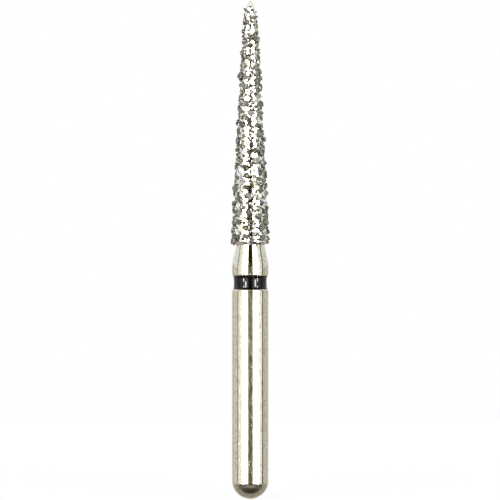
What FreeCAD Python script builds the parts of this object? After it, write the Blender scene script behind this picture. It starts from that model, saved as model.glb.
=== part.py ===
"""Tapered diamond bur with a pointed nose, for a friction-grip dental handpiece.

The bur stands on its shank end, nose up, with its axis on Z. Sizes are in millimetres.
A turned steel blank carries a nickel coat on its head. Diamond grains stand in pockets
of the coat, and a ring of black lacquer lies in a groove of the shank.
"""
import FreeCAD
import Part

import math
import os
import random

from FreeCAD import Rotation, Vector

# Shank, gripped by the chuck of the handpiece
shank_diameter = 1.60
shank_length = 9.13
end_dome_height = 0.68

# Groove with its ring of lacquer
groove_width = 0.69
groove_floor_width = 0.49
groove_depth = 0.16
groove_break_width = 0.045
groove_break_depth = 0.030
lacquer_dip = 0.068
lacquer_edge_dip = 0.006
lacquer_meniscus = 0.13
lacquer_face_sag = 0.012

# Collar and neck, from the groove to the head
collar_length = 0.48
neck_length = 0.82
neck_diameter = 1.26
shoulder_radius = 2.6

# Head, measured over the nickel and without the grains
head_length = 10.70
head_base_rise = 0.12
head_base_diameter = 1.53
nose_shoulder_diameter = 0.52
nose_shoulder_length = 0.83
nose_middle_diameter = 0.34
nose_middle_length = 0.26
point_diameter = 0.08

# Nickel coat
coat_thickness = 0.12
coat_foot = 0.03
coat_sides = 18

# Diamond grains, whose width and height are those of the ball that a grain is chipped from
grain_count = 246
grain_width_largest = 0.46
grain_width_smallest = 0.22
grain_width_ratio = 1.25
grain_height_share = 0.70
grain_stretch = 0.18
grain_clearance = 0.006
grain_seat_film = 0.040

# Form of a grain in a ball of radius 1: two polygons, one above the other
level_share = 0.62
least_reach_share = 0.60
most_reach_share = 0.78
fewest_sides = 4
most_sides = 5

# Throw of the grains on the head
throw_seed = 18
throw_count = 9000

# Places and radii that follow from the sizes
AXIS = Vector(0, 0, 1)
CENTRE = Vector(0, 0, 0)
shank_radius = shank_diameter / 2
neck_radius = neck_diameter / 2
groove_low = shank_length
groove_high = groove_low + groove_width
collar_high = groove_high + collar_length
head_low = collar_high + neck_length
head_high = head_low + head_length


def on_profile(radius, height):
    """A point of a turned profile, drawn in the XZ plane."""
    return Vector(radius, 0, height)


def line(start, end):
    """A straight edge."""
    return Part.LineSegment(start, end).toShape()


def chain(points):
    """Straight edges from point to point."""
    return [line(a, b) for a, b in zip(points, points[1:])]


def sagging(start, end, sag):
    """An arc that rises from start to end and dips towards the axis between them."""
    along = (end - start).normalize()
    inwards = Vector(-along.z, 0, along.x)
    return Part.Arc(start, (start + end) * 0.5 + inwards * sag, end).toShape()


def turned(edges):
    """The solid that a closed profile sweeps in one turn about the axis."""
    return Part.Face(Part.Wire(edges)).revolve(CENTRE, AXIS, 360)


def offset_inwards(outline, distance):
    """The outline moved towards the axis by a distance, with mitred corners and its end on the axis."""
    moved = []
    for start, end in zip(outline, outline[1:]):
        along = (end - start).normalize()
        inwards = Vector(-along.z, 0, along.x)
        moved.append((start + inwards * distance, along))
    corners = []
    for (first, along_first), (second, along_second) in zip(moved, moved[1:]):
        across = along_first.x * along_second.z - along_first.z * along_second.x
        gap = second - first
        reach = (gap.x * along_second.z - gap.z * along_second.x) / across
        corners.append(first + along_first * reach)
    last, along_last = moved[-1]
    tip = last + along_last * (-last.x / along_last.x)
    return corners + [tip]


def coat_outline():
    """The coat's outer outline from its foot on the neck to the point of the nose."""
    shoulder = head_high - nose_shoulder_length
    middle = head_high - nose_middle_length
    return [
        on_profile(neck_radius + coat_foot, head_low),
        on_profile(head_base_diameter / 2, head_low + head_base_rise),
        on_profile(nose_shoulder_diameter / 2, shoulder),
        on_profile(nose_middle_diameter / 2, middle),
        on_profile(point_diameter / 2, head_high),
    ]


def core_outline():
    """The steel core's outline under the coat."""
    return offset_inwards(coat_outline(), coat_thickness)


def end_dome():
    """The arc of the rounded shank end."""
    radius = (shank_radius**2 + end_dome_height**2) / (2 * end_dome_height)
    half_turn = math.atan2(shank_radius, radius - end_dome_height) / 2
    middle = on_profile(radius * math.sin(half_turn), radius * (1 - math.cos(half_turn)))
    return Part.Arc(CENTRE, middle, on_profile(shank_radius, end_dome_height)).toShape()


def groove_corners():
    """The groove's corners from its lower edge to its upper edge: both edges are broken."""
    flank = (groove_width - groove_floor_width) / 2
    floor_radius = shank_radius - groove_depth
    break_radius = shank_radius - groove_break_depth
    return [
        on_profile(shank_radius, groove_low),
        on_profile(break_radius, groove_low + groove_break_width),
        on_profile(floor_radius, groove_low + flank),
        on_profile(floor_radius, groove_high - flank),
        on_profile(break_radius, groove_high - groove_break_width),
        on_profile(shank_radius, groove_high),
    ]


def shoulder_edges():
    """The collar, the round shoulder and the neck cone, up to the head."""
    slope = math.atan2(shank_radius - neck_radius, neck_length)
    tangent = shoulder_radius * math.tan(slope / 2)
    centre = on_profile(shank_radius - shoulder_radius, collar_high - tangent)
    start = on_profile(shank_radius, collar_high - tangent)
    middle = centre + on_profile(math.cos(slope / 2), math.sin(slope / 2)) * shoulder_radius
    end = centre + on_profile(math.cos(slope), math.sin(slope)) * shoulder_radius
    return [
        line(on_profile(shank_radius, groove_high), start),
        Part.Arc(start, middle, end).toShape(),
        line(end, on_profile(neck_radius, head_low)),
    ]


def blank():
    """The steel blank, turned and ground in one piece from the shank end to the tip of its core."""
    edges = [end_dome()]
    edges.append(line(on_profile(shank_radius, end_dome_height), on_profile(shank_radius, groove_low)))
    edges += chain(groove_corners())
    edges += shoulder_edges()
    core = core_outline()
    edges += chain([on_profile(neck_radius, head_low)] + core)
    edges.append(line(core[-1], CENTRE))
    return turned(edges)


def lacquer_ring():
    """The ring of lacquer in the groove, with a face that climbs to a thin film at both edges."""
    low, floor_low, floor_high, high = groove_corners()[1:-1]
    share = lacquer_edge_dip / (groove_depth - groove_break_depth)
    rim_low = low + (floor_low - low) * share
    rim_high = high + (floor_high - high) * share
    face_radius = shank_radius - lacquer_dip
    face_low = on_profile(face_radius, groove_low + lacquer_meniscus)
    face_high = on_profile(face_radius, groove_high - lacquer_meniscus)
    edges = [sagging(face_low, face_high, lacquer_face_sag)]
    edges += chain([face_high, rim_high, floor_high, floor_low, rim_low, face_low])
    return turned(edges)


def ring_of_corners(point):
    """The corners of the coat's cross-section at one point of its outline."""
    step = 360 / coat_sides
    return [Rotation(AXIS, step * i).multVec(point) for i in range(coat_sides)]


def polygon_face(corners):
    """The flat face inside a ring of corners."""
    return Part.Face(Part.makePolygon(corners + corners[:1]))


def solid_from(faces):
    """The solid that a closed set of faces bounds."""
    return Part.Solid(Part.Shell(faces))


def coat_blank():
    """The coat before its pockets: narrow flat strips round the head, hollow over the steel."""
    rings = [ring_of_corners(point) for point in coat_outline()]
    faces = [polygon_face(rings[0]), polygon_face(rings[-1])]
    for lower, upper in zip(rings, rings[1:]):
        for i in range(coat_sides):
            j = (i + 1) % coat_sides
            faces.append(polygon_face([lower[i], lower[j], upper[j], upper[i]]))
    return solid_from(faces).cut(blank())


class Grain:
    """One rough diamond grain: two uneven polygons with a belt of triangles between them."""

    DIRECTIONS = [
        Vector(x, y, z).normalize()
        for x in (-1, 0, 1)
        for y in (-1, 0, 1)
        for z in (-1, 0, 1)
        if (x, y, z) > (0, 0, 0)
    ]

    def __init__(self, dice, seat, normal, width):
        self.sides = dice.randint(fewest_sides, most_sides)
        lying = self.lying_corners(dice, width)
        foot = min(corner.z for corner in lying)
        upright = Rotation(AXIS, normal)
        raised = [upright.multVec(corner - AXIS * foot) for corner in lying]
        self.corners = [seat + normal * grain_seat_film + corner for corner in raised]
        self.spans = [self.span(direction) for direction in self.DIRECTIONS]

    def span(self, direction):
        """The stretch that the grain takes up along a direction."""
        reaches = [corner.dot(direction) for corner in self.corners]
        return min(reaches), max(reaches)

    def lying_corners(self, dice, width):
        """The corners of the grain as it lies tumbled on a flat place, flattened and stretched a little."""
        rough = self.rough_corners(dice)
        tumble = Rotation(random_direction(dice), dice.uniform(0, 360))
        spin = Rotation(AXIS, dice.uniform(0, 360))
        stretch = 1 + dice.uniform(-grain_stretch, grain_stretch)
        half = Vector(width * stretch / 2, width / stretch / 2, width * grain_height_share / 2)
        tumbled = [tumble.multVec(corner) for corner in rough]
        sized = [Vector(corner.x * half.x, corner.y * half.y, corner.z * half.z) for corner in tumbled]
        return [spin.multVec(corner) for corner in sized]

    def rough_corners(self, dice):
        """The corners of both polygons, inside a ball of radius 1."""
        step = 2 * math.pi / self.sides
        corners = []
        for level, turn in ((-level_share, 0), (level_share, step / 2)):
            for i in range(self.sides):
                reach = dice.uniform(least_reach_share, most_reach_share)
                angle = turn + i * step
                corners.append(Vector(reach * math.cos(angle), reach * math.sin(angle), level))
        return corners

    def clear_of(self, other):
        """Whether the two grains lie apart along one of the fixed directions."""
        return any(
            low - other_high > grain_clearance or other_low - high > grain_clearance
            for (low, high), (other_low, other_high) in zip(self.spans, other.spans)
        )

    def solid(self):
        n = self.sides
        under = self.corners[:n]
        over = self.corners[n:]
        faces = [polygon_face(under), polygon_face(over)]
        for i in range(n):
            j = (i + 1) % n
            faces.append(polygon_face([under[i], under[j], over[i]]))
            faces.append(polygon_face([over[i], over[j], under[j]]))
        return solid_from(faces)


def random_direction(dice):
    """A direction in space, each being as likely."""
    height = dice.uniform(-1, 1)
    angle = dice.uniform(0, 2 * math.pi)
    flat = math.sqrt(1 - height * height)
    return Vector(flat * math.cos(angle), flat * math.sin(angle), height)


def random_seat(dice, core):
    """A point of the core's surface and the normal there, anywhere but on the bare point of the nose."""
    stretches = list(zip(core, core[1:-1]))
    areas = [(a - b).Length * (a.x + b.x) for a, b in stretches]
    low, high = dice.choices(stretches, areas)[0]
    share = dice.random()
    while dice.uniform(0, max(low.x, high.x)) > low.x + (high.x - low.x) * share:
        share = dice.random()
    along = (high - low).normalize()
    turn = Rotation(AXIS, dice.uniform(0, 360))
    seat = turn.multVec(low + (high - low) * share)
    normal = turn.multVec(Vector(along.z, 0, -along.x))
    return seat, normal


def scattered_grains():
    """Grains thrown on the head one by one, the widest first, and kept where they touch no other.

    Near the nose a grain is no wider than the narrow core has room for.
    """
    dice = random.Random(throw_seed)
    core = core_outline()
    step_down = (grain_width_largest - grain_width_smallest) / grain_count
    kept = []
    for throw in range(throw_count):
        if len(kept) == grain_count:
            break
        seat, normal = random_seat(dice, core)
        room = grain_width_ratio * (math.hypot(seat.x, seat.y) + coat_thickness)
        width = min(grain_width_largest - step_down * len(kept), room)
        grain = Grain(dice, seat, normal, width)
        if all(grain.clear_of(other) for other in kept):
            kept.append(grain)
    return kept


def main():
    """Build the four pieces and write each to a STEP file of its own."""
    os.makedirs("parts", exist_ok=True)
    grains = [grain.solid() for grain in scattered_grains()]
    coat = coat_blank().cut(grains)
    parts = {
        "steel_blank": blank(),
        "nickel_coat": coat,
        "diamond_grains": Part.makeCompound(grains),
        "colour_ring": lacquer_ring(),
    }
    for name, shape in parts.items():
        shape.exportStep(os.path.join("parts", name + ".step"))
        print(name, len(shape.Solids), "solids,", round(shape.Volume, 4), "mm3, valid:", shape.isValid())


main()
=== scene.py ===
import math
import random

import bmesh
import bpy
import numpy as np
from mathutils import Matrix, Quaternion, Vector, noise


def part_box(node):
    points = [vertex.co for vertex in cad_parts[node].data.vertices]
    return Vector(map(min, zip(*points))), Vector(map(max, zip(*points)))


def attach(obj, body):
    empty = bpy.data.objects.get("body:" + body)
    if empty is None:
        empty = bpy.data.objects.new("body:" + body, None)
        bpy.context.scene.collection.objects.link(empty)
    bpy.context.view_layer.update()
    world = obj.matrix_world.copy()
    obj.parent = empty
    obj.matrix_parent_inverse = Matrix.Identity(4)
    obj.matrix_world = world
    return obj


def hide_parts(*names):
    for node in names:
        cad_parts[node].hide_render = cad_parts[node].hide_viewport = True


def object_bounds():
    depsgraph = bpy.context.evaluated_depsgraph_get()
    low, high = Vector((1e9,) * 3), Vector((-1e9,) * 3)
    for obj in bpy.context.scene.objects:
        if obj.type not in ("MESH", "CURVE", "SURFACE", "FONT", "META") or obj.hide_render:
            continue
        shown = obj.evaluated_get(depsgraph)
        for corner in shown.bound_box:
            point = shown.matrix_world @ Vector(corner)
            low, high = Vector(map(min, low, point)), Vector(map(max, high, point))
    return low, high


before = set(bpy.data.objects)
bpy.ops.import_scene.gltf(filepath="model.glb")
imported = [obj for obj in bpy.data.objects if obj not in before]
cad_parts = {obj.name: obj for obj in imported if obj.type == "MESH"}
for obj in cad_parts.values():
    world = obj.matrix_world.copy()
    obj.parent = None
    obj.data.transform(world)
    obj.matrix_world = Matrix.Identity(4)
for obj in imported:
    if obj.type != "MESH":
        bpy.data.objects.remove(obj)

bl_info = {
    "name": "Diamond bur",
    "version": (1, 0, 0),
    "blender": (4, 5, 0),
    "location": "3D View > Sidebar > Bur",
    "description": "Finishes a tapered diamond bur round its fixed frame and sets up its studio",
    "category": "Object",
}

MM = 0.001
CAD_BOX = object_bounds()
BLANK_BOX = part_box("steel_blank")
COAT_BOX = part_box("nickel_coat")

# Shapes
SAME_PLACE = 1e-9  # metres under which two places of an outline are one
SAME_CORNER = 1e-7  # metres under which two corners in the frame's grains are one
SHARP_DEGREES = 35  # an edge of a turned piece is sharp if it folds by more
PLATING_SHARP_DEGREES = 80  # and so is an edge of the lumpy plating
CORNER_STEPS = 4  # steps of a rounded corner
DOME_STEPS = 26
SHOULDER_STEPS = 14
LACQUER_STEPS = 16
NECK_RINGS = (0.05, 0.5, 0.95, 1.0)  # rings up the neck's cone, which keep its shading straight
FINEST_STEP = 0.4  # the coat's ring step at the axis, as a share of the step at the base
POINT_FADE = 0.5 * MM  # length over which the plating's lumps fade at the point
FOOT_FADE = 0.08 * MM  # length over which its whole relief fades at the foot
WAVE_REACH = 3  # height over which the waves of the foot fade, in wave heights
CREEP_REACH = 5  # reach of the climbing nickel, in its own widths
CREEP_LIMIT = 0.999  # most of its full climb that the nickel gets to
THROWS = 60  # throws for each chip before it is left out
CHIP_DEPTH = (0.7, 1.0)  # least and most depth of a chip, as shares of its width
CHIP_HEIGHT = (0.6, 0.9)  # least and most height of a chip, as shares of its width
CUT_LEVEL = (0.70, 0.93)  # where a corner breaks off, as shares of the grain's reach
FLAT_DEGREES = 4  # two faces of a grain are one if they fold by less

# Finishes
MOST_NOISE = (0.3, 0.7)  # where most values of a noise lie
STAIN_NOISE = (0.45, 0.66)  # values of a noise where stain begins and where it is full
PIT_NOISE = (0.63, 0.73)
TARNISH_NOISE = (0.45, 0.75)
CLOUDY_NOISE = (0.35, 0.70)
STAIN_SHARE = 0.9  # share of the stain's colour where it is full
TARNISH_SHARE = 0.6
CLOUDY_SHARE = 0.5
NECK_PITS = 0.25  # depth of the pits on the neck, as a share of the shank's
DULL_SHARE = 0.8  # share of the dome's height where its dull finish begins to fade
TONE_PLACES = (0.0, 0.5, 0.955, 0.98)  # places of the four tones of grain between 0 and 1
BRUSHED = 0.6  # how brushed the steel looks
BRUSHED_TURN = 0.25  # direction of the brushing, in turns
DIAMOND_IOR = 1.75
DIAMOND_CLEAR = 0.40
DIAMOND_ROUGHNESS = (0.05, 0.20)
LACQUER_IOR = 1.50
LACQUER_SHEEN = 0.22
LACQUER_ROUGHNESS = (0.04, 0.09)
WHITE = (1.0, 1.0, 1.0, 1.0)
LAMP_POWER = 4  # watts from a square metre of lamp at a radiance of 1


def length(name, description, default):
    """A size in metres, shown with a length unit."""
    return bpy.props.FloatProperty(
        name=name, description=description, default=default, min=0.0, unit="LENGTH", precision=6
    )


def share(name, description, default):
    """A number from 0 to 1."""
    return bpy.props.FloatProperty(
        name=name, description=description, default=default, min=0.0, max=1.0
    )


def number(name, description, default):
    """A whole number of things."""
    return bpy.props.IntProperty(name=name, description=description, default=default, min=1)


def colour(name, description, default):
    """A linear colour."""
    return bpy.props.FloatVectorProperty(
        name=name, description=description, default=default, min=0.0, max=1.0, subtype="COLOR"
    )


class BlankSettings(bpy.types.PropertyGroup):
    """Sizes and colours of the turned steel blank and the lacquer in its groove."""

    shank_radius: length("Shank radius", "Radius of the gripped shank", BLANK_BOX[1].x)
    dome_height: length("Dome height", "Height of the rounded shank end", 0.68 * MM)
    groove_low: length("Groove height", "Height of the groove's lower edge", 9.13 * MM)
    groove_width: length("Groove width", "Width of the groove at the shank's surface", 0.69 * MM)
    groove_floor: length("Groove floor", "Width of the groove's floor", 0.49 * MM)
    groove_depth: length("Groove depth", "Depth of the groove", 0.16 * MM)
    break_width: length("Edge break width", "Width of the groove's broken edges", 0.045 * MM)
    break_depth: length("Edge break depth", "Depth of the groove's broken edges", 0.030 * MM)
    collar: length("Collar length", "Length from the groove to the shoulder's corner", 0.48 * MM)
    neck_radius: length("Neck radius", "Radius of the neck under the head", 0.63 * MM)
    shoulder: length("Shoulder arc", "Radius of the arc from the collar to the neck", 2.6 * MM)
    core_inset: length("Core inset", "Depth of the steel core under the nickel", 0.12 * MM)
    edge: length("Edge rounding", "Rounding of the turned edges", 0.024 * MM)
    lacquer_dip: length("Lacquer dip", "Depth of the lacquer's face under the shank", 0.068 * MM)
    lacquer_rim: length("Lacquer rim", "Depth of the lacquer under the broken edge", 0.006 * MM)
    lacquer_flank: length("Lacquer flank", "Width of the lacquer's sloping flank", 0.13 * MM)
    lacquer_sag: length("Lacquer sag", "Depth of the hollow in the lacquer's face", 0.012 * MM)
    segments: number("Segments", "Segments round the axis", 192)
    steel: colour("Steel", "Colour of the ground steel", (0.57, 0.54, 0.45))
    stain: colour("Steel stain", "Colour of the faint stains on the steel", (0.42, 0.37, 0.27))
    polish: share("Polish", "Roughness of the brightest steel", 0.03)
    haze: share("Haze", "Roughness of the dullest steel", 0.07)
    dull_end: share("Dull end", "Roughness added on the rounded end", 0.13)
    mottle: length("Mottle size", "Size of the mottles and stains", 0.11 * MM)
    pit: length("Pit size", "Size of the pits that grinding left", 0.034 * MM)
    pit_depth: length("Pit depth", "Depth of those pits", 0.0018 * MM)
    lacquer: colour("Lacquer", "Colour of the lacquer", (0.001, 0.001, 0.0012))
    lacquer_thin: colour("Thin lacquer", "Colour of the thin lacquer", (0.003, 0.0027, 0.0024))
    skin: length("Skin wave size", "Size of the waves in the lacquer's skin", 0.25 * MM)
    skin_depth: length("Skin wave height", "Height of those waves", 0.0012 * MM)


class CoatSettings(bpy.types.PropertyGroup):
    """Sizes and colours of the nickel on the head."""

    foot_radius: length("Foot radius", "Radius of the coat's foot on the neck", 0.66 * MM)
    base_radius: length("Base radius", "Radius at the base of the head", 0.765 * MM)
    base_rise: length("Base rise", "Height of the rounded base of the head", 0.12 * MM)
    shoulder_radius: length("Nose radius", "Radius where the nose begins", 0.26 * MM)
    shoulder_length: length("Nose length", "Length of the nose", 0.83 * MM)
    middle_radius: length("Bare point radius", "Radius where the bare point begins", 0.17 * MM)
    middle_length: length("Bare point length", "Length of the bare point", 0.26 * MM)
    point_radius: length("Point radius", "Radius of the point's blunt end", 0.04 * MM)
    lip: length("Ledge width", "Width of the ledge under the bare point", 0.035 * MM)
    lip_length: length("Ledge length", "Length over which that ledge fades", 0.16 * MM)
    softness: length("Softness", "Rounding of the outline's corners", 0.02 * MM)
    thickness: length("Thickness", "Thickness of the coat", 0.12 * MM)
    foot_depth: length("Foot depth", "Thickness of the coat at its foot", 0.03 * MM)
    foot_wave: length("Foot wave", "Height of the waves in the coat's lower edge", 0.05 * MM)
    ring_step: length("Ring step", "Distance between rings of the mesh at the base", 0.030 * MM)
    segments: number("Segments", "Segments round the axis", 196)
    creep: length("Climb height", "How far the nickel climbs up a grain", 0.016 * MM)
    creep_width: length("Climb width", "How fast the climbing nickel falls away", 0.020 * MM)
    lump: length("Lump height", "Height of the lumps in the plating", 0.001 * MM)
    lump_size: length("Lump size", "Size of the lumps in the plating", 0.16 * MM)
    nickel: colour("Nickel", "Colour of the nickel", (0.68, 0.66, 0.59))
    tarnish: colour("Tarnish", "Colour of the duller nickel", (0.50, 0.46, 0.38))
    polish: share("Polish", "Roughness of the brightest nickel", 0.02)
    haze: share("Haze", "Roughness of the dullest nickel", 0.06)
    cloud: length("Cloud size", "Size of the dull clouds on the nickel", 0.20 * MM)
    nodule: length("Nodule size", "Size of the fine nodules", 0.045 * MM)
    nodule_depth: length("Nodule height", "Height of the fine nodules", 0.0004 * MM)


class GritSettings(bpy.types.PropertyGroup):
    """Sizes and colours of the diamond grains and chips."""

    cuts: number("Broken corners", "Broken corners on each grain", 4)
    edge: length("Edge rounding", "Width of the worn edges of a grain", 0.006 * MM)
    chip_cuts: number("Broken chip corners", "Broken corners on each chip", 1)
    chip_edge: length("Chip edge", "Width of the worn edges of a chip", 0.004 * MM)
    chip_count: number("Chip count", "Small chips thrown between the grains", 480)
    chip_largest: length("Largest chip", "Width of the largest chip", 0.27 * MM)
    chip_smallest: length("Smallest chip", "Width of the smallest chip", 0.14 * MM)
    chip_corners: number("Chip corners", "Corners drawn for a chip", 11)
    chip_room: share("Chip room", "Share of a chip's width kept free round its middle", 0.26)
    chip_sink: share("Chip sink", "Share of a chip under the nickel", 0.42)
    chip_creep: share("Chip climb", "How far the nickel climbs a chip, as a share of a grain's", 0.6)
    bare_point: length("Point without chips", "Length at the point that has no chips", 0.38 * MM)
    bare_foot: length("Foot without chips", "Length at the coat's foot that has no chips", 0.06 * MM)
    seed: number("Random start", "Start of the random draws", 11)
    dark: colour("Darkest grains", "Colour of the darkest grains", (0.036, 0.029, 0.016))
    middle: colour("Most grains", "Colour of most grains", (0.100, 0.092, 0.054))
    pale: colour("Palest grains", "Colour of the palest grains", (0.30, 0.295, 0.215))
    gold: colour("Warm grains", "Colour of the few warm grains", (0.34, 0.24, 0.07))
    vein: length("Vein size", "Size of the cloudy veins in a grain", 0.09 * MM)
    scar: length("Step size", "Size of the broken steps on a grain's faces", 0.035 * MM)
    scar_depth: length("Step depth", "Depth of those steps", 0.0018 * MM)


class StageSettings(bpy.types.PropertyGroup):
    """Sizes of the studio."""

    camera_distance: length("Camera distance", "Distance from the axis to the camera", 150 * MM)
    lamp_distance: length("Lamp distance", "Distance from the axis to the softboxes", 150 * MM)
    floor_reach: length("Floor reach", "Distance from the axis to the floor's edges", 70 * MM)
    floor_drop: length("Floor drop", "Height of the bur over the floor", 0.02 * MM)
    floor_tone: colour("Floor colour", "Colour of the floor", (0.82, 0.82, 0.82))
    floor_lift: share("Floor lift", "White that the floor adds where the camera sees it", 0.55)
    fill: share("Fill light", "Strength of the light from all round", 0.10)


def smooth_corners(points, radius, steps=CORNER_STEPS):
    """An outline whose inner corners are rounded by short curves."""
    if radius <= 0:
        return list(points)
    made = [points[0]]
    for before, corner, after in zip(points, points[1:], points[2:]):
        back = before - corner
        on = after - corner
        reach = min(radius, back.length / 2, on.length / 2)
        start = corner + back.normalized() * reach
        end = corner + on.normalized() * reach
        for i in range(steps + 1):
            t = i / steps
            made.append(start * (1 - t) ** 2 + corner * 2 * t * (1 - t) + end * t**2)
    made.append(points[-1])
    return made


def arc(centre, radius, start, end, steps):
    """Points of an arc in the profile's plane, from one angle to another."""
    made = []
    for i in range(steps + 1):
        angle = start + (end - start) * i / steps
        made.append(centre + Vector((math.cos(angle), math.sin(angle))) * radius)
    return made


def sagging(start, end, sag, steps):
    """Points of a shallow arc that dips towards the axis between its ends."""
    along = (end - start).normalized()
    inwards = Vector((-along.y, along.x))
    made = []
    for i in range(steps + 1):
        t = i / steps
        made.append(start.lerp(end, t) + inwards * sag * 4 * t * (1 - t))
    return made


def around(radius, angle, height):
    """A place at a radius, an angle and a height about the axis."""
    return (radius * math.cos(angle), radius * math.sin(angle), height)


def mesh_object(name, vertices, faces, material, smooth=True, degrees=SHARP_DEGREES):
    """A new object from vertices and faces, linked to the scene."""
    mesh = bpy.data.meshes.new(name)
    mesh.from_pydata([tuple(v) for v in vertices], [], faces)
    mesh.update()
    if smooth:
        mesh.shade_smooth()
        mesh.set_sharp_from_angle(angle=math.radians(degrees))
    mesh.materials.append(material)
    made = bpy.data.objects.new(name, mesh)
    bpy.context.scene.collection.objects.link(made)
    return made


def ring_faces(count, lower, upper):
    """Quads between two rings of vertices."""
    faces = []
    for i in range(count):
        j = (i + 1) % count
        faces.append((lower + i, lower + j, upper + j, upper + i))
    return faces


def lathe(name, outline, segments, material):
    """A closed solid from an outline of radius and height that ends on the axis or closes."""
    closed = (outline[0] - outline[-1]).length < SAME_PLACE
    points = outline[:-1] if closed else outline
    vertices = []
    starts = []
    for radius, height in points:
        starts.append(len(vertices))
        if radius < SAME_PLACE:
            vertices.append((0.0, 0.0, height))
            continue
        for i in range(segments):
            vertices.append(around(radius, 2 * math.pi * i / segments, height))
    faces = []
    pairs = list(zip(range(len(points)), range(1, len(points))))
    if closed:
        pairs.append((len(points) - 1, 0))
    for a, b in pairs:
        low, high = starts[a], starts[b]
        if points[a].x < SAME_PLACE:
            faces += [(low, high + (i + 1) % segments, high + i) for i in range(segments)]
        elif points[b].x < SAME_PLACE:
            faces += [(low + i, low + (i + 1) % segments, high) for i in range(segments)]
        else:
            faces += ring_faces(segments, low, high)
    return mesh_object(name, vertices, faces, material)


def frame_object(node):
    """The frame's object of a node, or an error that names it."""
    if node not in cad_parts:
        raise RuntimeError("The frame has no node " + node)
    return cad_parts[node]


def dress(piece, slot, *nodes):
    """Fix a piece to the body and hide the frame nodes it stands for, which must exist; the finish's
    name that it is given is not used.
    """
    for node in nodes:
        frame_object(node)
    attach(piece, "root")
    if nodes:
        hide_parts(*nodes)


# Materials


class Nodes:
    """The node tree of a material or a world, and short ways to add to it."""

    def __init__(self, owner):
        owner.use_nodes = True
        self.owner = owner
        self.tree = owner.node_tree
        self.tree.nodes.clear()

    def add(self, kind, **sockets):
        """A new node with some of its inputs set."""
        node = self.tree.nodes.new(kind)
        for name, value in sockets.items():
            node.inputs[name.replace("_", " ")].default_value = value
        return node

    def link(self, source, target):
        """A link from an output to an input."""
        self.tree.links.new(source, target)

    def feed(self, node, **sources):
        """Links from some outputs to a node's inputs of those names."""
        for name, source in sources.items():
            self.link(source, node.inputs[name.replace("_", " ")])

    def place(self):
        """Positions on the object in metres."""
        return self.add("ShaderNodeTexCoord").outputs["Object"]

    def grain(self, size, detail):
        """Noise whose features are about the given size in metres."""
        texture = self.add("ShaderNodeTexNoise", Scale=1.0 / size, Detail=detail)
        self.link(self.place(), texture.inputs["Vector"])
        return texture.outputs["Fac"]

    def height(self):
        """The height on the object in metres."""
        parts = self.add("ShaderNodeSeparateXYZ")
        self.link(self.place(), parts.inputs["Vector"])
        return parts.outputs["Z"]

    def math(self, operation, first, second):
        """Two values brought together."""
        node = self.add("ShaderNodeMath")
        node.operation = operation
        self.link(first, node.inputs[0])
        self.link(second, node.inputs[1])
        return node.outputs["Value"]

    def spread(self, value, start, end):
        """A value mapped from one range to another."""
        node = self.add(
            "ShaderNodeMapRange", From_Min=start[0], From_Max=start[1], To_Min=end[0], To_Max=end[1]
        )
        self.link(value, node.inputs["Value"])
        return node.outputs["Result"]

    def mix(self, factor, first, second):
        """A colour between two colours or sockets."""
        node = self.add("ShaderNodeMix")
        node.data_type = "RGBA"
        self.link(factor, node.inputs["Factor"])
        colours = [socket for socket in node.inputs if socket.type == "RGBA"]
        for socket, value in zip(colours, (first, second)):
            if isinstance(value, bpy.types.NodeSocket):
                self.link(value, socket)
            else:
                socket.default_value = (*value, 1.0)
        return next(socket for socket in node.outputs if socket.type == "RGBA")

    def ramp(self, value, stops):
        """A colour from a row of places and colours."""
        stops = list(stops)
        node = self.add("ShaderNodeValToRGB")
        elements = node.color_ramp.elements
        while len(elements) < len(stops):
            elements.new(1.0)
        for element, (position, tone) in zip(elements, stops):
            element.position = position
            element.color = (*tone, 1.0)
        self.link(value, node.inputs["Fac"])
        return node.outputs["Color"]

    def bump(self, height, depth):
        """A bumped normal."""
        node = self.add("ShaderNodeBump", Distance=depth)
        self.link(height, node.inputs["Height"])
        return node.outputs["Normal"]

    def finish(self, shader, output="ShaderNodeOutputMaterial"):
        """The material or world, with a shader sent to its output."""
        self.link(shader.outputs[0], self.add(output).inputs["Surface"])
        return self.owner


def new_material(name):
    """The empty node tree of a new material."""
    return Nodes(bpy.data.materials.new(name))


def steel_material(s):
    """Ground steel: mottles and stains, and fine pits from the grinding, mostly on the shank."""
    nodes = new_material("ground_steel")
    shader = nodes.add(
        "ShaderNodeBsdfPrincipled",
        Metallic=1.0,
        Anisotropic=BRUSHED,
        Anisotropic_Rotation=BRUSHED_TURN,
    )
    mottle = nodes.grain(s.mottle, detail=4.0)
    stains = nodes.spread(mottle, STAIN_NOISE, (0.0, STAIN_SHARE))
    polish = nodes.spread(mottle, MOST_NOISE, (s.polish, s.haze))
    end_fade = (s.dome_height * DULL_SHARE, s.dome_height)
    dull_end = nodes.spread(nodes.height(), end_fade, (s.dull_end, 0.0))
    collar_top = s.groove_low + s.groove_width + s.collar
    neck_fade = (collar_top, collar_top + s.collar / 2)
    worn = nodes.spread(nodes.height(), neck_fade, (1.0, NECK_PITS))
    pits = nodes.spread(nodes.grain(s.pit, detail=2.0), PIT_NOISE, (0.0, 1.0))
    tangent = nodes.add("ShaderNodeTangent")
    tangent.direction_type = "RADIAL"
    tangent.axis = "Z"
    nodes.feed(
        shader,
        Base_Color=nodes.mix(stains, s.steel, s.stain),
        Roughness=nodes.math("ADD", polish, dull_end),
        Normal=nodes.bump(nodes.math("MULTIPLY", pits, worn), s.pit_depth),
        Tangent=tangent.outputs["Tangent"],
    )
    return nodes.finish(shader)


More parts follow.
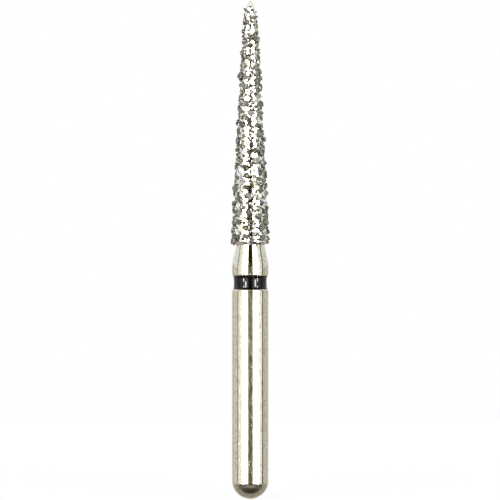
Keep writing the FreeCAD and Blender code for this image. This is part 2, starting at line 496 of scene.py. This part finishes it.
def nickel_material(s):
    """Bright nickel plate with fine nodules and duller clouds."""
    nodes = new_material("bright_nickel")
    shader = nodes.add("ShaderNodeBsdfPrincipled", Metallic=1.0)
    cloud = nodes.grain(s.cloud, detail=3.0)
    dull = nodes.spread(cloud, TARNISH_NOISE, (0.0, TARNISH_SHARE))
    nodes.feed(
        shader,
        Base_Color=nodes.mix(dull, s.nickel, s.tarnish),
        Roughness=nodes.spread(cloud, MOST_NOISE, (s.polish, s.haze)),
        Normal=nodes.bump(nodes.grain(s.nodule, detail=2.0), s.nodule_depth),
    )
    return nodes.finish(shader)


def diamond_material(s):
    """Dark olive-grey diamond, a little clear, each grain of its own tone."""
    nodes = new_material("diamond")
    shader = nodes.add(
        "ShaderNodeBsdfPrincipled", IOR=DIAMOND_IOR, Transmission_Weight=DIAMOND_CLEAR
    )
    island = nodes.add("ShaderNodeNewGeometry").outputs["Random Per Island"]
    tone = nodes.ramp(island, zip(TONE_PLACES, (s.dark, s.middle, s.pale, s.gold)))
    veins = nodes.grain(s.vein, detail=4.0)
    cloudy = nodes.spread(veins, CLOUDY_NOISE, (0.0, CLOUDY_SHARE))
    nodes.feed(
        shader,
        Base_Color=nodes.mix(cloudy, tone, s.pale),
        Roughness=nodes.spread(veins, MOST_NOISE, DIAMOND_ROUGHNESS),
        Normal=nodes.bump(nodes.grain(s.scar, detail=3.0), s.scar_depth),
    )
    return nodes.finish(shader)


def lacquer_material(s):
    """Gloss black lacquer with a slightly uneven skin."""
    nodes = new_material("black_lacquer")
    shader = nodes.add(
        "ShaderNodeBsdfPrincipled", IOR=LACQUER_IOR, Specular_IOR_Level=LACQUER_SHEEN
    )
    skin = nodes.grain(s.skin, detail=2.0)
    nodes.feed(
        shader,
        Base_Color=nodes.mix(skin, s.lacquer, s.lacquer_thin),
        Roughness=nodes.spread(skin, MOST_NOISE, LACQUER_ROUGHNESS),
        Normal=nodes.bump(skin, s.skin_depth),
    )
    return nodes.finish(shader)


# Steel blank and lacquer


def groove_corners(s):
    """The groove's corners, from its lower edge to its upper edge: both edges are broken."""
    flank = (s.groove_width - s.groove_floor) / 2
    floor = s.shank_radius - s.groove_depth
    broken = s.shank_radius - s.break_depth
    high = s.groove_low + s.groove_width
    return [
        Vector((s.shank_radius, s.groove_low)),
        Vector((broken, s.groove_low + s.break_width)),
        Vector((floor, s.groove_low + flank)),
        Vector((floor, high - flank)),
        Vector((broken, high - s.break_width)),
        Vector((s.shank_radius, high)),
    ]


def dome_outline(s):
    """The rounded shank end, from the axis to the shank."""
    radius = (s.shank_radius**2 + s.dome_height**2) / (2 * s.dome_height)
    turn = math.atan2(s.shank_radius, radius - s.dome_height)
    made = arc(Vector((0.0, radius)), radius, -math.pi / 2, turn - math.pi / 2, DOME_STEPS)
    made[0].x = 0.0
    return made


def shoulder_outline(s):
    """The round shoulder between the collar and the neck's cone, and the neck up to the head."""
    neck_top = COAT_BOX[0].z
    corner = s.groove_low + s.groove_width + s.collar
    slope = math.atan2(s.shank_radius - s.neck_radius, neck_top - corner)
    tangent = s.shoulder * math.tan(slope / 2)
    centre = Vector((s.shank_radius - s.shoulder, corner - tangent))
    shoulder = arc(centre, s.shoulder, 0.0, slope, SHOULDER_STEPS)
    top = Vector((s.neck_radius, neck_top))
    return shoulder + [shoulder[-1].lerp(top, t) for t in NECK_RINGS]


def core_outline(s, coat):
    """The steel core under the nickel, up to its own point on the axis."""
    outline = coat_corners(coat)[1:]
    core = [Vector((p.x - s.core_inset, p.y)) for p in outline[:2]]
    core.append(Vector((0.0, outline[2].y)))
    return core


def blank_outline(s, coat):
    """The whole outline of the steel blank, from the shank end to the core's point."""
    dome = dome_outline(s)
    shoulder = shoulder_outline(s)
    body = smooth_corners([dome[-2], dome[-1], *groove_corners(s), shoulder[0]], s.edge)
    return dome[:-2] + body + shoulder[1:] + core_outline(s, coat)


def lacquer_outline(s):
    """The ring of lacquer: a hollow face between two flanks outside, the groove's floor inside."""
    low, floor_low, floor_high, high = groove_corners(s)[1:-1]
    film = s.lacquer_rim / (s.groove_depth - s.break_depth)
    rim_low = low.lerp(floor_low, film)
    rim_high = high.lerp(floor_high, film)
    face = s.shank_radius - s.lacquer_dip
    face_low = Vector((face, s.groove_low + s.lacquer_flank))
    face_high = Vector((face, s.groove_low + s.groove_width - s.lacquer_flank))
    skin = [rim_low] + sagging(face_low, face_high, s.lacquer_sag, LACQUER_STEPS) + [rim_high]
    return smooth_corners(skin, s.edge) + [floor_high, floor_low, rim_low]


# Nickel coat and grit


def coat_corners(c):
    """The corners of the coat's outline, from its foot on the neck to the end of the point."""
    low = COAT_BOX[0].z
    high = COAT_BOX[1].z
    return [
        Vector((c.foot_radius, low)),
        Vector((c.base_radius, low + c.base_rise)),
        Vector((c.shoulder_radius, high - c.shoulder_length)),
        Vector((c.middle_radius, high - c.middle_length)),
        Vector((c.point_radius, high)),
    ]


def lipped(corners, c):
    """The coat's corners with the small ledge where the grit ends under the bare point."""
    edge = corners[3]
    down = (corners[2] - edge).normalized()
    return [
        *corners[:3],
        edge + down * c.lip_length,
        edge + Vector((c.lip, -c.lip / 2)),
        *corners[3:],
    ]


class Coat:
    """The coat's surface as a grid of rings, with how far each place is from a grain."""

    def __init__(self, settings):
        self.settings = settings
        corners = lipped(coat_corners(settings), settings)
        outline = smooth_corners(corners + [Vector((0.0, corners[-1].y))], settings.softness)
        self.radius, self.height, self.out_r, self.out_z = self.rings(outline)
        self.count = settings.segments
        self.angle = np.arange(self.count) * 2 * math.pi / self.count
        self.gap = np.full((len(self.radius), self.count), 1.0)
        self.open = np.ones((len(self.radius), self.count))

    def rings(self, outline):
        """Places along the outline, closer where it is thin, and its outward normals there."""
        points = np.array([tuple(p) for p in outline])
        lengths = np.concatenate([[0.0], np.cumsum(np.hypot(*np.diff(points, axis=0).T))])
        where = [0.0]
        while where[-1] < lengths[-1]:
            width = np.interp(where[-1], lengths, points[:, 0]) / self.settings.base_radius
            step = FINEST_STEP + (1 - FINEST_STEP) * width
            where.append(where[-1] + self.settings.ring_step * step)
        where = np.array(where) * lengths[-1] / where[-1]
        radius = np.interp(where, lengths, points[:, 0])
        height = np.interp(where, lengths, points[:, 1])
        slope_r = np.gradient(radius)
        slope_z = np.gradient(height)
        size = np.hypot(slope_r, slope_z)
        return radius, height, slope_z / size, -slope_r / size

    def radius_at(self, z):
        """The coat's radius at a height."""
        corners = coat_corners(self.settings)
        return float(np.interp(z, [p.y for p in corners], [p.x for p in corners]))

    def footprint(self, points, edges):
        """The places where a grain's edges go through the coat's surface, or None if few do."""
        rise = [math.hypot(p.x, p.y) - self.radius_at(p.z) for p in points]
        crossings = []
        for a, b in edges:
            if (rise[a] > 0) != (rise[b] > 0):
                t = rise[a] / (rise[a] - rise[b])
                crossings.append(points[a].lerp(points[b], t))
        return crossings if len(crossings) > 2 else None

    def press(self, crossings, creep, width):
        """Note a grain's footprint on the grid: its distance, and the nickel that climbs it."""
        centre = sum(crossings, Vector()) / len(crossings)
        turn = math.atan2(centre.y, centre.x)
        radius = math.hypot(centre.x, centre.y)
        flat = [
            (radius * wrapped(math.atan2(p.y, p.x) - turn), p.z - centre.z) for p in crossings
        ]
        flat.sort(key=lambda q: math.atan2(q[1], q[0]))
        reach = max(math.hypot(*q) for q in flat) + CREEP_REACH * width
        rows = np.where(np.abs(self.height - centre.z) < reach)[0]
        if len(rows) == 0:
            return
        across = np.abs(wrapped(self.angle - turn)) * self.radius[rows].mean() < reach
        columns = np.where(across)[0]
        z = (self.height[rows] - centre.z)[:, None]
        s = self.radius[rows][:, None] * wrapped(self.angle[columns] - turn)[None, :]
        distance = np.full(s.shape, -1.0)
        for (x0, y0), (x1, y1) in zip(flat, flat[1:] + flat[:1]):
            size = math.hypot(x1 - x0, y1 - y0)
            if size > SAME_PLACE:
                side = ((s - x0) * (y1 - y0) - (z - y0) * (x1 - x0)) / size
                distance = np.maximum(distance, side)
        spot = np.ix_(rows, columns)
        self.gap[spot] = np.minimum(self.gap[spot], distance)
        climb = np.exp(-np.maximum(distance, 0.0) / width)
        self.open[spot] *= 1 - climb * min(1.0, creep / self.settings.creep) * CREEP_LIMIT

    def foot_line(self):
        """How high the coat's lower edge stands over its lowest place, round the neck."""
        s = self.settings
        waves = []
        for angle in self.angle:
            place = Vector(around(1.0, angle, 0.0)) * s.foot_radius / s.lump_size
            waves.append(s.foot_wave * (0.5 + 0.5 * noise.noise(place)))
        return np.array(waves)

    def surface(self):
        """The heights of the nickel over the outline: what climbs the grains, and low lumps."""
        s = self.settings
        lumps = np.zeros(self.open.shape)
        for j, (radius, height) in enumerate(zip(self.radius, self.height)):
            for i, angle in enumerate(self.angle):
                place = Vector(around(radius, angle, height)) / s.lump_size
                lumps[j, i] = noise.noise(place)
        fade = np.clip((COAT_BOX[1].z - self.height) / POINT_FADE, 0.0, 1.0)[:, None]
        foot = np.clip((self.height - COAT_BOX[0].z) / FOOT_FADE, 0.0, 1.0)[:, None]
        return (s.creep * (1 - self.open) + s.lump * lumps * fade) * foot

    def build(self, name, material):
        """The coat as a closed shell: the lumpy surface, and a plain inner one over the core."""
        rise = self.surface()
        wave = self.foot_line()
        wave_reach = WAVE_REACH * self.settings.foot_wave
        n = self.count
        rows = len(self.radius) - 1
        vertices = []
        faces = []
        for j in range(rows):
            fade = max(0.0, 1 - (self.height[j] - COAT_BOX[0].z) / wave_reach)
            for i, angle in enumerate(self.angle):
                r = self.radius[j] + self.out_r[j] * rise[j, i]
                z = self.height[j] + self.out_z[j] * rise[j, i] + wave[i] * fade
                vertices.append(around(r, angle, min(z, COAT_BOX[1].z)))
        for j in range(rows - 1):
            faces += ring_faces(n, j * n, (j + 1) * n)
        vertices.append((0.0, 0.0, COAT_BOX[1].z))
        last = (rows - 1) * n
        faces += [(last + i, last + (i + 1) % n, rows * n) for i in range(n)]
        self.line(vertices, faces, wave)
        return mesh_object(name, vertices, faces, material, degrees=PLATING_SHARP_DEGREES)

    def line(self, vertices, faces, wave):
        """The plain inner surface of the coat, from its foot to a point on the axis."""
        s = self.settings
        n = self.count
        inner = [Vector((p.x - s.thickness, p.y)) for p in coat_corners(s)[1:3]]
        inner.insert(0, Vector((s.foot_radius - s.foot_depth, COAT_BOX[0].z)))
        below = 0
        for p in inner:
            start = len(vertices)
            for i, angle in enumerate(self.angle):
                z = p.y + wave[i] if below == 0 else p.y
                vertices.append(around(p.x, angle, z))
            faces += [tuple(reversed(f)) for f in ring_faces(n, below, start)]
            below = start
        vertices.append((0.0, 0.0, coat_corners(s)[3].y))
        faces += [(below + (i + 1) % n, below + i, len(vertices) - 1) for i in range(n)]


def wrapped(angle):
    """An angle brought between minus and plus half a turn."""
    return (angle + math.pi) % (2 * math.pi) - math.pi


def loose_grains(node):
    """The corners of each separate grain of a frame node."""
    mesh = bmesh.new()
    mesh.from_mesh(frame_object(node).data)
    bmesh.ops.remove_doubles(mesh, verts=mesh.verts, dist=SAME_CORNER)
    seen = set()
    grains = []
    for start in mesh.verts:
        if start in seen:
            continue
        seen.add(start)
        waiting = [start]
        found = []
        while waiting:
            vertex = waiting.pop()
            found.append(vertex.co.copy())
            for edge in vertex.link_edges:
                other = edge.other_vert(vertex)
                if other not in seen:
                    seen.add(other)
                    waiting.append(other)
        grains.append(found)
    mesh.free()
    return grains


def crystal(points, cuts, edge, dice):
    """A broken crystal: the hull of its corners with some corners cut off and its edges worn."""
    mesh = bmesh.new()
    for p in points:
        mesh.verts.new(p)
    hull = bmesh.ops.convex_hull(mesh, input=mesh.verts)
    loose = [v for v in hull["geom_interior"] if isinstance(v, bmesh.types.BMVert)]
    bmesh.ops.delete(mesh, geom=loose, context="VERTS")
    centre = sum((v.co for v in mesh.verts), Vector()) / len(mesh.verts)
    for _ in range(cuts):
        out = Vector([dice.gauss(0, 1) for _ in range(3)]).normalized()
        reaches = [(v.co - centre).dot(out) for v in mesh.verts]
        level = max(reaches) * dice.uniform(*CUT_LEVEL)
        cut = bmesh.ops.bisect_plane(
            mesh,
            geom=mesh.verts[:] + mesh.edges[:] + mesh.faces[:],
            plane_co=centre + out * level,
            plane_no=out,
            clear_outer=True,
        )
        rim = [g for g in cut["geom_cut"] if isinstance(g, bmesh.types.BMEdge)]
        if rim:
            bmesh.ops.edgenet_fill(mesh, edges=rim)
    flat = math.radians(FLAT_DEGREES)
    bmesh.ops.dissolve_limit(mesh, angle_limit=flat, verts=mesh.verts, edges=mesh.edges)
    bmesh.ops.bevel(
        mesh, geom=mesh.edges[:], offset=edge, segments=1, affect="EDGES", clamp_overlap=True
    )
    bmesh.ops.recalc_face_normals(mesh, faces=mesh.faces)
    return mesh


def hull_of(points):
    """The edges of the hull of some points, as pairs of places in the list."""
    mesh = bmesh.new()
    vertices = [mesh.verts.new(p) for p in points]
    place = {v: i for i, v in enumerate(vertices)}
    bmesh.ops.convex_hull(mesh, input=mesh.verts)
    edges = [(place[e.verts[0]], place[e.verts[1]]) for e in mesh.edges if e.link_faces]
    mesh.free()
    return edges


def joined(name, crystals, material):
    """One object from many crystals."""
    vertices = []
    faces = []
    for mesh in crystals:
        start = len(vertices)
        mesh.verts.index_update()
        vertices += [v.co.copy() for v in mesh.verts]
        faces += [tuple(start + v.index for v in f.verts) for f in mesh.faces]
        mesh.free()
    return mesh_object(name, vertices, faces, material, smooth=False)


def chip_points(coat, row, column, width, grit, dice):
    """The corners of a small chip that stands in the nickel at a place of the grid."""
    angle = coat.angle[column]
    out = Vector(around(coat.out_r[row], angle, coat.out_z[row]))
    seat = Vector(around(coat.radius[row], angle, coat.height[row]))
    shares = Vector((width, width * dice.uniform(*CHIP_DEPTH), width * dice.uniform(*CHIP_HEIGHT)))
    size = shares / 2
    spin = Quaternion((0.0, 0.0, 1.0), dice.uniform(0, 2 * math.pi))
    turn = out.to_track_quat("Z", "Y")
    lift = size.z * (1 - 2 * grit.chip_sink)
    points = []
    for _ in range(grit.chip_corners):
        d = Vector([dice.gauss(0, 1) for _ in range(3)]).normalized()
        corner = Vector((d.x * size.x, d.y * size.y, d.z * size.z + lift))
        points.append(seat + turn @ (spin @ corner))
    return points


def scatter_chips(coat, grit, dice):
    """Chips thrown between the grains, the widest first, where the grid still has room."""
    chips = []
    creep = coat.settings.creep * grit.chip_creep
    low_row = int(np.argmax(coat.height > COAT_BOX[0].z + grit.bare_foot))
    high_row = int(np.argmax(coat.height > COAT_BOX[1].z - grit.bare_point))
    for k in range(grit.chip_count):
        width = grit.chip_largest + (grit.chip_smallest - grit.chip_largest) * k / grit.chip_count
        for _ in range(THROWS):
            row = dice.randrange(low_row, high_row)
            column = dice.randrange(coat.count)
            if dice.random() * coat.radius.max() > coat.radius[row]:
                continue
            if coat.gap[row, column] > width * grit.chip_room:
                points = chip_points(coat, row, column, width, grit, dice)
                footprint = coat.footprint(points, hull_of(points))
                if footprint:
                    coat.press(footprint, creep, coat.settings.creep_width)
                    chips.append(points)
                    break
    return chips


def seated_grit(scene):
    """The coat's grid with every grain and chip seated in it, the grains and the chips."""
    coat = Coat(scene.bur_coat)
    grains = loose_grains("diamond_grains")
    if not grains:
        raise RuntimeError("The frame's node diamond_grains holds no grain")
    for points in grains:
        footprint = coat.footprint(points, hull_of(points))
        if footprint:
            coat.press(footprint, coat.settings.creep, coat.settings.creep_width)
    chips = scatter_chips(coat, scene.bur_grit, random.Random(scene.bur_grit.seed))
    return coat, grains, chips


# Stage

# Width and height in metres of the large panels.
PANEL = (0.109, 0.195)

# Softboxes: name, azimuth and elevation in degrees, width and height in metres, radiance, share of
# the lamp distance, whether they light the object, and whether they show in the metal.
SOFTBOXES = (
    ("softbox_left", -34.2, 3, PANEL, 2.2, 1.0, True, True),
    ("softbox_right", 36.5, 3, PANEL, 2.2, 1.0, True, True),
    ("tube_left", -32, 4, (0.023, 0.044), 34.0, 0.97, False, True),
    ("tube_right", 36, 0, (0.023, 0.044), 34.0, 0.97, False, True),
    ("high_tube_left", -47, 10, (0.018, 0.016), 34.0, 0.97, False, True),
    ("high_tube_right", 52, 10, (0.018, 0.016), 34.0, 0.97, False, True),
    ("low_tube_left", -47, -8, (0.018, 0.020), 34.0, 0.97, False, True),
    ("low_tube_right", 52, -8, (0.018, 0.020), 34.0, 0.97, False, True),
    ("back_light_left", -140, 8, PANEL, 1.6, 1.0, True, False),
    ("back_light_right", 140, 8, PANEL, 1.6, 1.0, True, False),
)

# Upright cards: name, azimuth and width in degrees, lower and upper edge, distance, colour.
# Each card glows and shows only in the metal, so its colour is a painted reflection: bright softbox
# edges and wall tops, black frames, and a dark stripe behind the camera, brownish low and darker
# high.
UPRIGHT_PAINTED_REFLECTIONS = (
    ("left_edge", -67, 26, -0.08, 0.12, 0.150, (1.46, 1.47, 1.38)),
    ("right_edge", 67, 26, -0.08, 0.12, 0.150, (1.40, 1.44, 1.43)),
    ("left_frame", -86.5, 3.8, -0.09, 0.12, 0.148, (0.0, 0.0, 0.0)),
    ("right_frame", 85.0, 7.2, -0.09, 0.12, 0.148, (0.0, 0.0, 0.0)),
    ("left_wall", -152, 56, -0.10, 0.022, 0.170, (0.86, 0.83, 0.76)),
    ("right_wall", 135, 88, -0.10, 0.022, 0.170, (0.86, 0.85, 0.78)),
    ("left_wall_top", -134, 92, 0.022, 0.13, 0.170, (1.25, 1.32, 1.45)),
    ("right_wall_top", 135, 88, 0.022, 0.13, 0.170, (1.08, 1.14, 1.23)),
    ("camera_low", 1.2, 30, -0.10, 0.028, 0.200, (0.215, 0.18, 0.118)),
    ("camera_high", 1.2, 30, 0.028, 0.20, 0.200, (0.025, 0.02, 0.013)),
)

# Level cards: name, left and right edge, edge nearer to the camera and far edge, height, colour.
# Each card glows and shows only in the metal, so its colour is a painted reflection: a dark ceiling,
# bright top lights, and a table painted in shade, darkest in front of the bur and paler further
# back.
LEVEL_PAINTED_REFLECTIONS = (
    ("ceiling", (-0.13, 0.13), (-0.13, 0.13), 0.115, (0.06, 0.06, 0.05)),
    ("top_light", (-0.05, 0.05), (-0.105, -0.055), 0.114, (1.9, 1.9, 1.8)),
    ("top_light_left", (-0.115, -0.05), (-0.09, 0.01), 0.114, (1.9, 1.9, 1.8)),
    ("top_light_right", (0.05, 0.115), (-0.09, 0.01), 0.114, (1.9, 1.9, 1.8)),
    ("top_light_back", (-0.115, 0.115), (0.045, 0.115), 0.114, (1.9, 1.9, 1.8)),
    # A dark strip that paints shade into the middle of the rounded end's reflection.
    ("painted_shade_front", (-0.014, 0.014), (-0.075, 0.0), -0.015, (0.055, 0.043, 0.028)),
    ("table_left", (-0.04, -0.014), (-0.075, 0.0), -0.015, (0.20, 0.19, 0.16)),
    ("table_right", (0.014, 0.04), (-0.075, 0.0), -0.015, (0.18, 0.17, 0.15)),
    ("table_far_left", (-0.075, -0.04), (-0.075, 0.0), -0.015, (0.50, 0.48, 0.43)),
    ("table_far_right", (0.04, 0.075), (-0.075, 0.0), -0.015, (0.46, 0.45, 0.40)),
    ("table_near_back", (-0.075, 0.075), (0.0, 0.02), -0.015, (0.50, 0.47, 0.42)),
    ("table_middle_back", (-0.075, 0.075), (0.02, 0.045), -0.015, (0.62, 0.59, 0.53)),
    ("table_far_back", (-0.075, 0.075), (0.045, 0.075), -0.015, (0.78, 0.75, 0.68)),
    # A pale strip that paints a sheen band just under the rounded end's edge.
    ("painted_sheen_strip", (-0.013, 0.013), (-0.029, -0.0152), -0.0148, (0.42, 0.42, 0.39)),
)


def plane(name, corners, material):
    """A flat four-cornered sheet."""
    return mesh_object(name, corners, [(0, 1, 2, 3)], material, smooth=False)


def level_plane(name, across, along, height, material):
    """A level sheet between two places across and two along."""
    (left, right), (near, far) = across, along
    places = ((left, near), (right, near), (right, far), (left, far))
    return plane(name, [(x, y, height) for x, y in places], material)


def glow_material(name, tone):
    """A surface of even brightness."""
    nodes = new_material(name)
    shader = nodes.add("ShaderNodeEmission", Color=(*tone, 1.0), Strength=1.0)
    return nodes.finish(shader)


def floor_material(tone, lift):
    """A pale floor that keeps shadows and that the camera sees as white."""
    nodes = new_material("pale_floor")
    pale = nodes.add("ShaderNodeBsdfDiffuse", Color=(*tone, 1.0))
    ray = nodes.add("ShaderNodeLightPath").outputs
    glow = nodes.add("ShaderNodeEmission", Color=WHITE)
    seen = nodes.spread(ray["Is Camera Ray"], (0.0, 1.0), (0.0, lift))
    nodes.link(seen, glow.inputs["Strength"])
    both = nodes.add("ShaderNodeAddShader")
    nodes.link(pale.outputs[0], both.inputs[0])
    nodes.link(glow.outputs[0], both.inputs[1])
    return nodes.finish(both)


def only_in_reflections(card):
    """A studio card that shows in the metal and nowhere else, so its glow is a painted reflection.
    """
    card.visible_camera = False
    card.visible_diffuse = False
    card.visible_shadow = False


def upright_card(name, azimuth, width_degrees, low, high, distance, tone):
    """A glowing card that faces the axis, at an azimuth from the camera's side, between two heights,
    and paints a reflection in the metal.
    """
    centre = math.radians(azimuth)
    half = math.radians(width_degrees / 2)
    corners = []
    for side, height in ((-1, low), (1, low), (1, high), (-1, high)):
        angle = centre + side * half
        reach = distance / math.cos(half)
        corners.append((reach * math.sin(angle), -reach * math.cos(angle), height))
    only_in_reflections(plane(name, corners, glow_material(name, tone)))


def softbox(name, azimuth, elevation, size, radiance, distance, middle, lights_up, shows):
    """A softbox that faces the middle of the bur; the camera never sees it."""
    lamp = bpy.data.lights.new(name, "AREA")
    lamp.shape = "RECTANGLE"
    lamp.size, lamp.size_y = size
    lamp.energy = LAMP_POWER * radiance * size[0] * size[1]
    lit = bpy.data.objects.new(name, lamp)
    a, e = math.radians(azimuth), math.radians(elevation)
    away = Vector((math.sin(a) * math.cos(e), -math.cos(a) * math.cos(e), math.sin(e)))
    lit.location = middle + away * distance
    lit.rotation_mode = "QUATERNION"
    lit.rotation_quaternion = away.to_track_quat("Z", "Y")
    lit.visible_camera = False
    lit.visible_diffuse = lights_up
    lit.visible_glossy = shows
    lit.visible_transmission = shows
    bpy.context.scene.collection.objects.link(lit)


def lamps(distance, middle):
    """Two softboxes beside the camera with bright tubes in them, and two lamps behind the bur."""
    for name, azimuth, elevation, size, radiance, near, lights_up, shows in SOFTBOXES:
        softbox(name, azimuth, elevation, size, radiance, distance * near, middle, lights_up, shows)


def cards():
    """Painted reflections that the metal shows besides the softboxes: glowing cards for their edges
    and frames, walls, ceiling, top lights and table, with light and shade painted in their colours.
    """
    for name, azimuth, width, low, high, distance, tone in UPRIGHT_PAINTED_REFLECTIONS:
        upright_card(name, azimuth, width, low, high, distance, tone)
    for name, across, along, height, tone in LEVEL_PAINTED_REFLECTIONS:
        only_in_reflections(level_plane(name, across, along, height, glow_material(name, tone)))


def white_world(fill):
    """A world that is white where it is seen, mirrored or seen through, else a weak fill light."""
    nodes = Nodes(bpy.data.worlds.new("white_studio"))
    ray = nodes.add("ShaderNodeLightPath").outputs
    mirrored = nodes.math("MAXIMUM", ray["Is Camera Ray"], ray["Is Glossy Ray"])
    seen = nodes.math("MAXIMUM", mirrored, ray["Is Transmission Ray"])
    background = nodes.add("ShaderNodeBackground", Color=WHITE)
    nodes.link(nodes.spread(seen, (0.0, 1.0), (fill, 1.0)), background.inputs["Strength"])
    bpy.context.scene.world = nodes.finish(background, "ShaderNodeOutputWorld")


def photo_camera(distance):
    """A long-lens camera, level with the middle of the bur, at the photo's scale."""
    pixels_per_mm = 22.8
    image_pixels = 500
    axis_pixel = 250.25
    end_pixel = 498.6
    data = bpy.data.cameras.new("camera")
    frame_width = image_pixels / pixels_per_mm * MM
    data.sensor_width = 36.0
    data.lens = data.sensor_width * distance / frame_width
    data.clip_start = 0.01
    data.clip_end = 5.0
    camera = bpy.data.objects.new("camera", data)
    middle = (end_pixel - image_pixels / 2) / pixels_per_mm * MM
    aside = (image_pixels / 2 - axis_pixel) / pixels_per_mm * MM
    camera.location = (aside, -distance, middle)
    camera.rotation_euler = (math.pi / 2, 0.0, 0.0)
    bpy.context.scene.collection.objects.link(camera)
    bpy.context.scene.camera = camera


# Operators


class BUR_OT_blank(bpy.types.Operator):
    """Turn the steel blank from its rounded end to the core under the head"""

    bl_idname = "bur.blank"
    bl_label = "Steel blank"

    def execute(self, context):
        s = context.scene.bur_blank
        outline = blank_outline(s, context.scene.bur_coat)
        blank = lathe("turned_blank", outline, s.segments, steel_material(s))
        dress(blank, "ground_steel", "steel_blank")
        return {"FINISHED"}


class BUR_OT_lacquer(bpy.types.Operator):
    """Fill the groove of the shank with a ring of lacquer"""

    bl_idname = "bur.lacquer"
    bl_label = "Lacquer ring"

    def execute(self, context):
        s = context.scene.bur_blank
        ring = lathe("lacquer_band", lacquer_outline(s), s.segments, lacquer_material(s))
        dress(ring, "black_lacquer", "colour_ring")
        return {"FINISHED"}


class BUR_OT_plating(bpy.types.Operator):
    """Plate the head with nickel that climbs a little up each grain and chip"""

    bl_idname = "bur.plating"
    bl_label = "Nickel plating"

    def execute(self, context):
        coat, _, _ = seated_grit(context.scene)
        plating = coat.build("nickel_plating", nickel_material(context.scene.bur_coat))
        dress(plating, "bright_nickel", "nickel_coat")
        return {"FINISHED"}


class BUR_OT_grit(bpy.types.Operator):
    """Break the diamond grains and the chips between them into shape"""

    bl_idname = "bur.grit"
    bl_label = "Diamond grit"

    def execute(self, context):
        grit = context.scene.bur_grit
        _, grains, chips = seated_grit(context.scene)
        dice = random.Random(grit.seed)
        diamond = diamond_material(grit)
        large = [crystal(points, grit.cuts, grit.edge, dice) for points in grains]
        dress(joined("diamond_crystals", large, diamond), "diamond", "diamond_grains")
        small = [crystal(points, grit.chip_cuts, grit.chip_edge, dice) for points in chips]
        dress(joined("diamond_chips", small, diamond), "diamond")
        return {"FINISHED"}


class BUR_OT_stage(bpy.types.Operator):
    """Set up the floor, the lamps, the glowing cards that paint reflections in the metal, and the
    camera
    """

    bl_idname = "bur.stage"
    bl_label = "Studio"

    def execute(self, context):
        s = context.scene.bur_stage
        middle = (CAD_BOX[0] + CAD_BOX[1]) / 2
        middle.x = middle.y = 0.0
        edges = (-s.floor_reach, s.floor_reach)
        level = CAD_BOX[0].z - s.floor_drop
        pale = floor_material(s.floor_tone, s.floor_lift)
        floor = level_plane("floor", edges, edges, level, pale)
        floor.visible_glossy = False
        floor.visible_shadow = False
        white_world(s.fill)
        lamps(s.lamp_distance, middle)
        cards()
        photo_camera(s.camera_distance)
        context.scene.view_settings.view_transform = "Standard"
        return {"FINISHED"}


class BUR_PT_panel(bpy.types.Panel):
    """The steps of the bur, one button each"""

    bl_label = "Diamond bur"
    bl_idname = "BUR_PT_panel"
    bl_space_type = "VIEW_3D"
    bl_region_type = "UI"
    bl_category = "Bur"

    def draw(self, context):
        for step in STEPS:
            self.layout.operator(step.bl_idname)
        for place in GROUPS:
            group = getattr(context.scene, place)
            box = self.layout.box()
            for name in group.__annotations__:
                box.prop(group, name)


STEPS = (BUR_OT_stage, BUR_OT_blank, BUR_OT_lacquer, BUR_OT_plating, BUR_OT_grit)
GROUPS = {
    "bur_blank": BlankSettings,
    "bur_coat": CoatSettings,
    "bur_grit": GritSettings,
    "bur_stage": StageSettings,
}
CLASSES = (*GROUPS.values(), *STEPS, BUR_PT_panel)


def register():
    """Add the classes, and their settings on the scene."""
    for kind in CLASSES:
        bpy.utils.register_class(kind)
    for place, kind in GROUPS.items():
        setattr(bpy.types.Scene, place, bpy.props.PointerProperty(type=kind))


def unregister():
    """Take the settings and the classes away again."""
    for place in GROUPS:
        delattr(bpy.types.Scene, place)
    for kind in reversed(CLASSES):
        bpy.utils.unregister_class(kind)


def main():
    """Build the whole picture."""
    register()
    bpy.ops.bur.stage()
    bpy.ops.bur.blank()
    bpy.ops.bur.lacquer()
    bpy.ops.bur.plating()
    bpy.ops.bur.grit()


if __name__ == "__main__":
    main()
